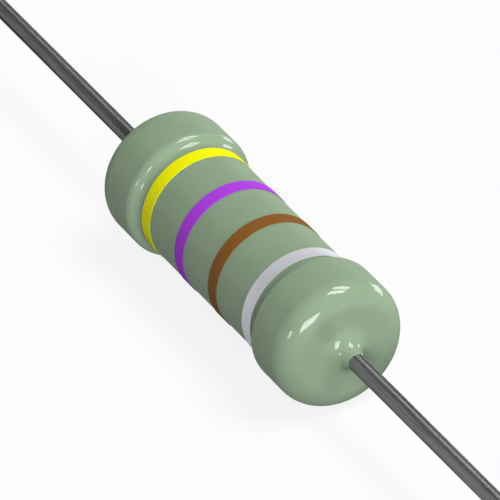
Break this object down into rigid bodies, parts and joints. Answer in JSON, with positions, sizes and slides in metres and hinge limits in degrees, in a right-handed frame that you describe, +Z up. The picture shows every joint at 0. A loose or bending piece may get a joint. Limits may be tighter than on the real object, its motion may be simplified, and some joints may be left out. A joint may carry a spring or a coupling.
{
  "type": "axial wirewound power resistor",
  "caption": "Axial-lead wirewound power resistor: a painted dog-bone body with colour bands, a ceramic core and straight wire leads.",
  "frame": {"origin": "centre of the body, on the axis of the leads", "axes": "+X along the leads towards the tolerance band, +Z up; the body is round about X"},
  "size_m": [0.0814, 0.0064, 0.0064],
  "materials": {
    "core_ceramic": "matte",
    "resistance_alloy": "satin",
    "cap_steel": "satin",
    "lead_metal": "satin",
    "green_paint": "gloss",
    "yellow_ink": "gloss",
    "violet_ink": "gloss",
    "brown_ink": "gloss",
    "silver_ink": "gloss"
  },
  "bodies": {
    "root": {"ceramic_core": "core_ceramic", "resistance_wire": "resistance_alloy", "left_end_cap": "cap_steel", "right_end_cap": "cap_steel", "left_lead": "lead_metal", "right_lead": "lead_metal", "coating": "green_paint", "band_yellow": "yellow_ink", "band_violet": "violet_ink", "band_brown": "brown_ink", "band_silver": "silver_ink"}
  },
  "joints": []
}
